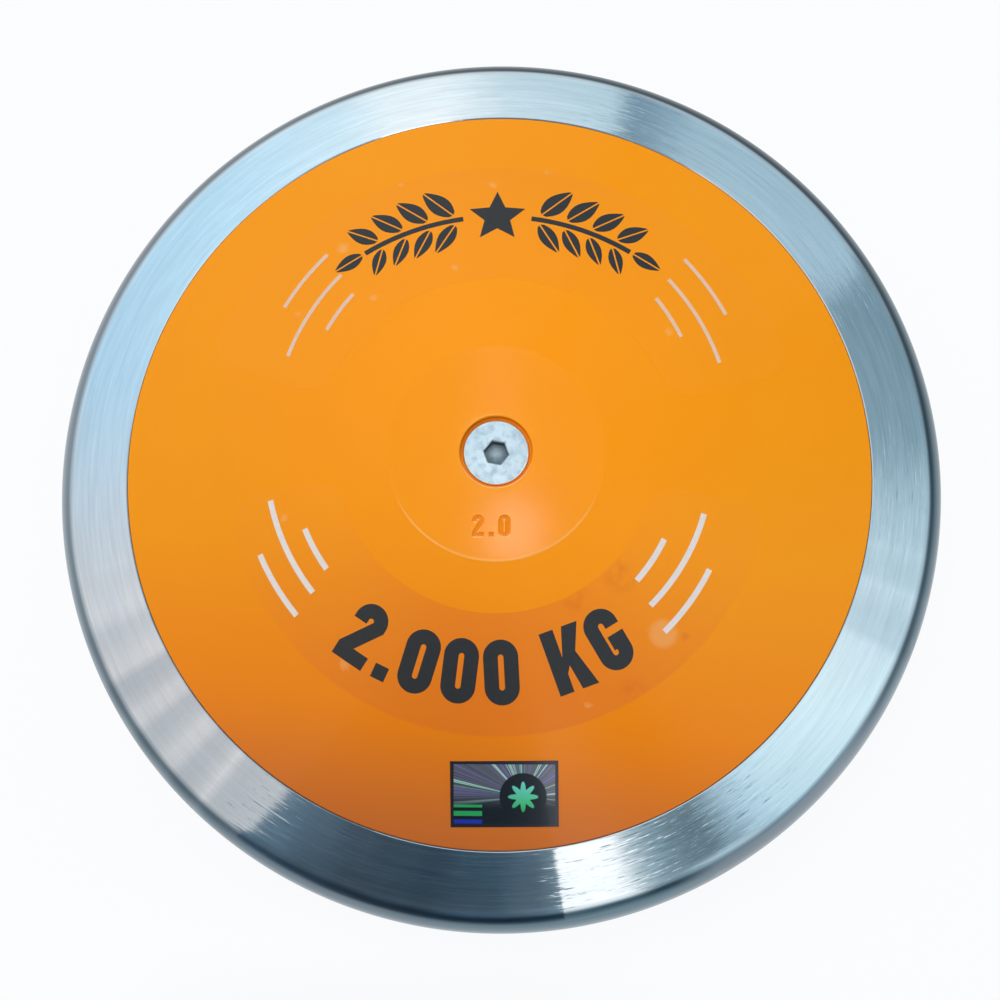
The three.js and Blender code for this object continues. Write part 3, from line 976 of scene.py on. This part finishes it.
# Strokes: their width, and (radius, bearing) at both ends of each, longest in the middle of its three
STROKE_STEPS = 12
STROKES = {
    "upper_strokes": (0.95, (
        ((65.7, 129.4), (63.6, 144.3)), ((58.9, 130.1), (55.6, 154.0)), ((52.7, 131.1), (50.9, 143.1)),
        ((67.1, 47.2), (65.2, 32.4)), ((60.1, 46.5), (57.4, 23.1)), ((54.1, 45.3), (52.3, 33.2)),
    )),
    "lower_strokes": (1.35, (
        ((59.4, -157.1), (58.8, -140.9)), ((53.6, -168.6), (52.6, -142.7)), ((47.3, -158.5), (46.9, -145.5)),
        ((55.4, -28.5), (55.6, -46.8)), ((49.6, -16.1), (49.2, -44.8)), ((43.0, -27.3), (43.1, -42.5)),
    )),
}
for name, (stroke_width, ends) in STROKES.items():
    outlines = []
    for (reach, turned), (reach_end, turned_end) in ends:
        path = []
        for i in range(STROKE_STEPS + 1):
            share = i / STROKE_STEPS
            path.append(polar(reach + (reach_end - reach) * share, turned + (turned_end - turned) * share))
        outlines += ribbon(path, stroke_width)
    print_on_film(name, outlines, silver_ink)

# Foil patch. A small rectangle of embossed diffraction foil on a dark backing, stuck to the front
# plate near its lower edge. Its pattern is a rosette with a fan of rays and a block of bars.
PATCH_SIZE = (24.3, 14.7)
PATCH_MIDDLE = (1.95, -76.6)
PATCH_TURN_DEG = 0.6
PATCH_THICKNESS = 0.1
PATCH_STEP = 0.5
PATCH_FRAME = 0.75
ROSETTE = (4.2, -0.6)
ROSETTE_DISC = 5.4
ROSETTE_REACH = 3.5
ROSETTE_PETALS = 8.0
PETAL_DEPTH = 0.24 * ROSETTE_REACH
PETAL_MIDDLE = 0.76 * ROSETTE_REACH
FAN_FADE = (-3.0, 2.0)
BAR_BLOCK = (-5.0, -2.4)
BAR_PITCH = 1.9
BAR_GAP = 0.42
BLUE_BELOW = -5.3

# Embossed foil under clear lacquer: grey metal whose ruled lines, some too fine to see, give off
# lavender, green and blue. The fan's rays are drawn about 1 mm wide at the frame.
foil, shader, add, place = start_material("embossed_foil", {"Roughness": 0.3, "Metallic": 0.35})
plug(shader, {"Coat Weight": 0.5, "Coat Roughness": 0.1})
here = add("VectorMath", [place, (*PATCH_MIDDLE, 0)], "SUBTRACT")
side, rise, _ = add("SeparateXYZ", [here]).outputs
about = add("VectorMath", [here, (*ROSETTE, 0)], "SUBTRACT")
spread = add("SeparateXYZ", [about])
over = spread.outputs["Y"]
level = add("CombineXYZ", [spread.outputs["X"], over])
reach = add("VectorMath", [level], "LENGTH")
bearing = add("Math", [over, spread.outputs["X"]], "ARCTAN2")
spoke = add("VectorMath", [level], "NORMALIZE")
rays = add("TexNoise", [spoke, 7.0, 4.0, 0.65])
ray_colour = add("ValToRGB", [rays])
RAYS = (
    (0.3, "#3c3d44"), (0.41, "#66666c"), (0.445, "#8579b8"), (0.475, "#6a696f"), (0.55, "#6a696f"),
    (0.58, "#dcf2ec"), (0.605, "#4fb083"), (0.65, "#5f6066"),
)
set_stops(ray_colour, RAYS)
# The rosette's petals swell and shrink on a dark disc, and below it the fan fades out
petals = add("Math", [bearing, ROSETTE_PETALS], "MULTIPLY")
wave = add("Math", [petals], "COSINE")
petal_edge = add("Math", [wave, PETAL_DEPTH, PETAL_MIDDLE], "MULTIPLY_ADD")
within = add("Math", [petal_edge, reach], "SUBTRACT")
petal = add("MapRange", [within, 0.0, 0.25])
disc = add("MapRange", [reach, ROSETTE_DISC, ROSETTE_DISC - 0.2])
glow = add("MapRange", [over, -ROSETTE_REACH, ROSETTE_REACH])
bloom = add("Mix", [glow, "#31c45c", "#7fe3d2"])
skyward = add("MapRange", [over, *FAN_FADE], **SMOOTH)
ground = add("Mix", [skyward, "#22262c", ray_colour])
on_disc = add("Mix", [disc, ground, "#20252a"])
on_petal = add("Mix", [petal, on_disc, bloom])
# Bars in the lower left corner, green over blue
left_of = add("Math", [side, BAR_BLOCK[0]], "LESS_THAN")
below = add("Math", [rise, BAR_BLOCK[1]], "LESS_THAN")
block = add("Math", [left_of, below], "MULTIPLY")
row = add("Math", [rise, 1 / BAR_PITCH], "MULTIPLY")
part = add("Math", [row], "FRACT")
bar = add("Math", [part, BAR_GAP], "GREATER_THAN")
upper_bar = add("Math", [rise, BLUE_BELOW], "GREATER_THAN")
bar_colour = add("Mix", [upper_bar, "#2b3fc0", "#39b866"])
bars = add("Mix", [bar, "#22242b", bar_colour])
with_bars = add("Mix", [block, on_petal, bars])
# The dark backing shows as a frame
wide = add("Math", [side], "ABSOLUTE")
tall = add("Math", [rise], "ABSOLUTE")
past_side = add("Math", [wide, PATCH_SIZE[0] / 2 - PATCH_FRAME], "GREATER_THAN")
past_end = add("Math", [tall, PATCH_SIZE[1] / 2 - PATCH_FRAME], "GREATER_THAN")
border = add("Math", [past_side, past_end], "MAXIMUM")
tint = add("Mix", [border, with_bars, "#2f2b30"])
plug(shader, {"Base Color": tint})

shape = bmesh.new()
columns = round(PATCH_SIZE[0] / PATCH_STEP)
rows = round(PATCH_SIZE[1] / PATCH_STEP)
tilt = radians(PATCH_TURN_DEG)
grid = []
for i in range(columns + 1):
    column = []
    for j in range(rows + 1):
        u = PATCH_SIZE[0] * (i / columns - 0.5)
        v = PATCH_SIZE[1] * (j / rows - 0.5)
        x = PATCH_MIDDLE[0] + u * cos(tilt) - v * sin(tilt)
        y = PATCH_MIDDLE[1] + u * sin(tilt) + v * cos(tilt)
        z = taper_height(math.hypot(x, y)) + PATCH_THICKNESS
        column.append(shape.verts.new((x * MM, y * MM, z * MM)))
    grid.append(column)
for here, there in zip(grid, grid[1:]):
    for j in range(rows):
        shape.faces.new((here[j], there[j], there[j + 1], here[j + 1]))
thicken(shape, PATCH_THICKNESS)
finish_mesh("foil_patch", shape, foil)

# Floor. A plain pale table that the discus lies on, back plate down.
FLOOR_HALF_SIDE = 6.0
CORNERS = ((-1, -1), (1, -1), (1, 1), (-1, 1))
floor_level = cad_box[0].z

# White paper: seen directly, in metal or through glass it is lifted towards white and keeps its shadows
PAPER_LIFT = 0.92
paper = bpy.data.materials.new("white_paper")
paper.use_nodes = True
tree = paper.node_tree
add = partial(add_node, tree)
shader = tree.nodes["Principled BSDF"]
plug(shader, {"Base Color": "#f4f5f6", "Roughness": 0.8})
path = add("LightPath").outputs
seen = add("Math", [path["Is Camera Ray"], path["Is Glossy Ray"]], "MAXIMUM")
seen = add("Math", [seen, path["Is Transmission Ray"]], "MAXIMUM")
share = add("Math", [seen, PAPER_LIFT], "MULTIPLY")
white = add("Emission", {"Color": "#fdfdfe", "Strength": 1.0})
plug(tree.nodes["Material Output"], {"Surface": add("MixShader", [share, shader, white])})


def flat_sheet(name, corners, material):
    """A flat sheet of one face."""
    shape = bmesh.new()
    shape.faces.new([shape.verts.new(corner) for corner in corners])
    mesh = bpy.data.meshes.new(name)
    shape.to_mesh(mesh)
    shape.free()
    mesh.materials.append(material)
    return add_object(name, mesh)


corners = [(x * FLOOR_HALF_SIDE, y * FLOOR_HALF_SIDE, floor_level) for x, y in CORNERS]
floor = flat_sheet("floor", corners, paper)

# Studio. Pale walls all round, bluer towards the upper left, greyer towards the lower left and darker
# at the foot, with one bright window there, and lights overhead. The rim mirrors them as sectors.
world = bpy.data.worlds.new("studio")
world.use_nodes = True
bpy.context.scene.world = world
tree = world.node_tree
add = partial(add_node, tree)
way = add("TexCoord").outputs["Generated"]
east, north, up = add("SeparateXYZ", [way]).outputs
bearing = add("Math", [north, east], "ARCTAN2")
turned = add("MapRange", [bearing, -pi, pi])
walls = add("ValToRGB", [turned])
# The bearing and colour of each stretch of wall
WALLS = (
    (-180, "#c7ccd2"), (-173, "#d4d4d7"), (-161, "#d3cfcf"), (-152, "#d8d5d5"), (-140, "#cfcdce"),
    (-132.5, "#e0dedd"), (-130.5, "#7d8f9c"), (-84.5, "#7c8d97"), (-81.5, "#ffffff"), (-69.5, "#ffffff"),
    (-66.5, "#a8bec6"), (-62, "#76929e"), (-54, "#2c4856"), (-47, "#a2c2d2"), (-42, "#c6e3ef"),
    (-24, "#d9f0f7"), (-10, "#cde2eb"), (6, "#b2cbd7"), (17, "#7f9caa"), (38.5, "#6e8b9a"), (41, "#9fbccc"),
    (66.5, "#9ebbc9"), (71.5, "#7b99aa"), (75.3, "#638193"), (76.7, "#b6cfdb"), (90, "#c2d8e1"),
    (98, "#ebf3f7"), (105, "#eaf4f8"), (110, "#cfe8f4"), (128, "#badef2"), (155, "#b0d2e8"),
    (180, "#c7ccd2"),
)
set_stops(walls, WALLS, -180, 180)
# Its brightest stretches give off a quarter more light
daylight = add("MapRange", [walls, 0.9, 1.0, 1.0, 1.25])
lit_walls = add("VectorMath", [walls, daylight], "SCALE")
slope = add("Math", [up], "ARCSINE")


def by_slope(low, high):
    """A smooth rise from 0 to 1 between two heights above the horizon, in degrees."""
    ends = (radians(low), radians(high))
    return add("MapRange", [slope, *ends], **SMOOTH)


# A pale board leans in the dark corner beside the window, up to the height that the rim's face mirrors
BOARD_BEARING_DEG = -54
BOARD_WIDTH = (radians(10), radians(4))
BOARD_HEIGHT = (radians(47), radians(42))
from_board = add("Math", [bearing, radians(BOARD_BEARING_DEG)], "SUBTRACT")
off_board = add("Math", [from_board], "ABSOLUTE")
board_width = add("MapRange", [off_board, *BOARD_WIDTH])
board_height = add("MapRange", [slope, *BOARD_HEIGHT])
board = add("Math", [board_width, board_height], "MULTIPLY")
lit_walls = add("Mix", [board, lit_walls, "#b4cbd6"])
# The walls start above the horizon, and overhead they give way to the ceiling
above = by_slope(6, 16)
lower_wall = add("Mix", [above, "#fafbfc", lit_walls])
sky = add("Mix", [by_slope(62, 74), lower_wall, "#b9c3c9"])
# Lights overhead, as (middle, reach, level): a long faint oval, and a small bright one beside it
OVERHEAD = (
    ((-0.02, 0.27, 0), (0.03, 0.19, 1), 2.6),
    ((0.0, 0.112, 0), (0.034, 0.05, 1), 15.0),
)
OVAL_FADE = (1.2, 0.5)
aside = add("Math", [east, up], "DIVIDE")
onward = add("Math", [north, up], "DIVIDE")
slant = add("CombineXYZ", [aside, onward])
upward = add("Math", [up, 0.0], "GREATER_THAN")
for middle, reach, level in OVERHEAD:
    off = add("VectorMath", [slant, middle], "SUBTRACT")
    share = add("VectorMath", [off, reach], "DIVIDE")
    distance = add("VectorMath", [share], "LENGTH")
    oval = add("MapRange", [distance, *OVAL_FADE], **SMOOTH)
    soft_box = add("Math", [oval, upward], "MULTIPLY")
    sky = add("Mix", [soft_box, sky, (level, level, level * 1.02, 1.0)])
plug(tree.nodes["Background"], {"Color": sky, "Strength": 1.2})
# Seen directly or through glass it is a plain background, and metal shows that background along the
# horizon, under the lit walls
path = add("LightPath").outputs
seen = add("Math", [path["Is Camera Ray"], path["Is Transmission Ray"]], "MAXIMUM")
along_horizon = add("Math", [1.0, above], "SUBTRACT")
in_metal = add("Math", [path["Is Glossy Ray"], along_horizon], "MULTIPLY")
seen = add("Math", [seen, in_metal], "MAXIMUM")
backdrop = add("Background", {"Color": "#fbfcfd", "Strength": 1.0})
both = add("MixShader", [seen, tree.nodes["Background"], backdrop])
plug(tree.nodes["World Output"], {"Surface": both})

# A dark card stands close to the foot of the discus. It shades the foot and shows in the metal.
CARD_ENDS = (-88.5, 18.0)
CARD_PLACE = -120.0
CARD_RISE = (9.0, 200.0)

# Matt card stock: dark in its middle, paler towards its ends, lighter and warmer near its lower edge,
# and mottled in patches some 14 mm long and 6 mm high
CARD_TONES = (
    (0.0, "#6c8796"), (0.11, "#62798a"), (0.38, "#3a4d5c"), (0.62, "#1d3e52"), (0.82, "#2e5064"),
    (0.94, "#587081"), (1.0, "#7a949f"),
)
CARD_BLOTCH_MM = (14, 1, 6)
CARD_LIGHTER = (34.0, 14.0)
CARD_WARMER = (46.0, 22.0)
card_paper, shader, add, place = start_material("dark_card_paper", {"Roughness": 0.9})
plug(shader, {"Specular IOR Level": 0.0})
parts = add("SeparateXYZ", [place])
span = add("MapRange", [parts.outputs["X"], *CARD_ENDS])
tone = add("ValToRGB", [span])
set_stops(tone, CARD_TONES)
stretch = add("VectorMath", [place, [1 / size for size in CARD_BLOTCH_MM]], "MULTIPLY")
cloudy = add("TexNoise", [stretch, 1.0, 3.0])
uneven = add("MapRange", [cloudy, 0.3, 0.7, 0.6, 1.75])
footlight = add("MapRange", [parts.outputs["Z"], *CARD_LIGHTER, 1.0, 2.6])
uneven = add("Math", [uneven, footlight], "MULTIPLY")
mottled = add("Mix", [1.0, tone, uneven], blend_type="MULTIPLY")
near_foot = add("MapRange", [parts.outputs["Z"], *CARD_WARMER, 0.03, 0.3])
plug(shader, {"Base Color": add("Mix", [near_foot, mottled, "#8f877e"])})

corners = [(CARD_ENDS[x > 0] * MM, CARD_PLACE * MM, CARD_RISE[z > 0] * MM) for x, z in CORNERS]
card = flat_sheet("dark_card", corners, card_paper)
card.visible_camera = False

# Key light: a soft box beyond the top of the discus, kept out of the metal's reflections
key_data = bpy.data.lights.new("key_light", "AREA")
key_data.shape = "RECTANGLE"
key_data.size = 0.5
key_data.size_y = 0.35
key_data.energy = 1.95
key_data.color = srgb("#fff6ea")[:3]
key = add_object("key_light", key_data)
key.location = (-0.1, 0.16, 0.66)
key.rotation_euler = (Vector((0, 0, 0)) - key.location).to_track_quat("-Z", "Y").to_euler()
key.visible_glossy = False

# Camera. Nearly square over the disc, 215 mm above its middle plane, tilted a little towards the top
CAMERA_PLACE = Vector((4.38, -40.82, 215.10)) * MM
CAMERA_TILT_DEG = 8.741
CAMERA_ROLL_DEG = 1.011
lens = bpy.data.cameras.new("camera")
lens.lens = 31.08
lens.sensor_width = 36.0
lens.clip_start = 0.01
camera = add_object("camera", lens)
tilt = Matrix.Rotation(radians(CAMERA_TILT_DEG), 4, "X")
roll = Matrix.Rotation(radians(CAMERA_ROLL_DEG), 4, "Y")
camera.matrix_world = Matrix.Translation(CAMERA_PLACE) @ tilt @ roll
bpy.context.scene.camera = camera
bpy.context.scene.view_settings.view_transform = "Standard"
